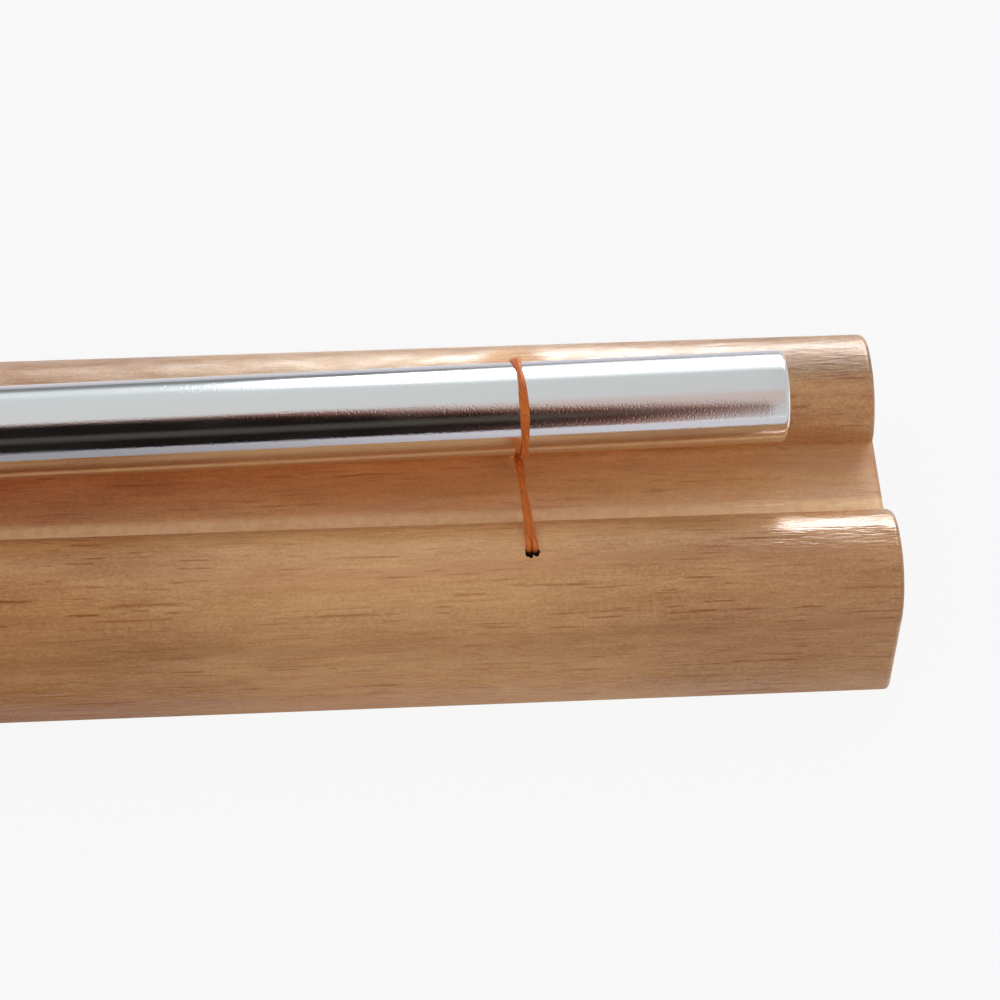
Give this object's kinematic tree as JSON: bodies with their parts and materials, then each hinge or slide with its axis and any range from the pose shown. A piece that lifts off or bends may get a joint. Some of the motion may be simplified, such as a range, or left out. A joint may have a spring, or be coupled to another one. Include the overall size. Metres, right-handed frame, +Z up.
{
  "type": "energy chime",
  "caption": "Tabletop energy chime: a polished aluminium bar slung on knotted cords across the valley of a varnished wooden base with rounded rails.",
  "frame": {"origin": "on the surface the base stands on, under the middle of the base", "axes": "+X along the base, +Y from the front rail to the back rail, +Z up"},
  "size_m": [0.1952, 0.05, 0.0379],
  "materials": {
    "varnished_wood": "satin varnish",
    "polished_aluminium": "polished",
    "orange_cord": "twisted cord"
  },
  "bodies": {
    "base": {"wood_base": "varnished_wood", "front_cord_left": "orange_cord", "front_cord_right": "orange_cord", "back_cord_left": "orange_cord", "back_cord_right": "orange_cord", "front_knot_left": "orange_cord", "front_knot_right": "orange_cord", "back_knot_left": "orange_cord", "back_knot_right": "orange_cord"},
    "slings": {"rod_wrap_left": "orange_cord", "rod_wrap_right": "orange_cord"},
    "rod": {"chime_rod": "polished_aluminium"}
  },
  "joints": [
    {"name": "rod_travel", "type": "slide", "parent": "base", "child": "slings", "axis": [0, 1, 0], "range_m": [-0.0091, 0.0017], "deforming": ["front_cord_left", "front_cord_right", "back_cord_left", "back_cord_right"]},
    {"name": "rod_roll", "type": "hinge", "parent": "slings", "child": "rod", "pos_m": [0, 0.0037, 0.03], "axis": [0.9998, 0.0181, 0], "range_deg": [-15, 75]}
  ],
  "couplings": [
    {"joint": "rod_roll", "follows": "rod_travel", "rad_per_m": -140.85}
  ]
}
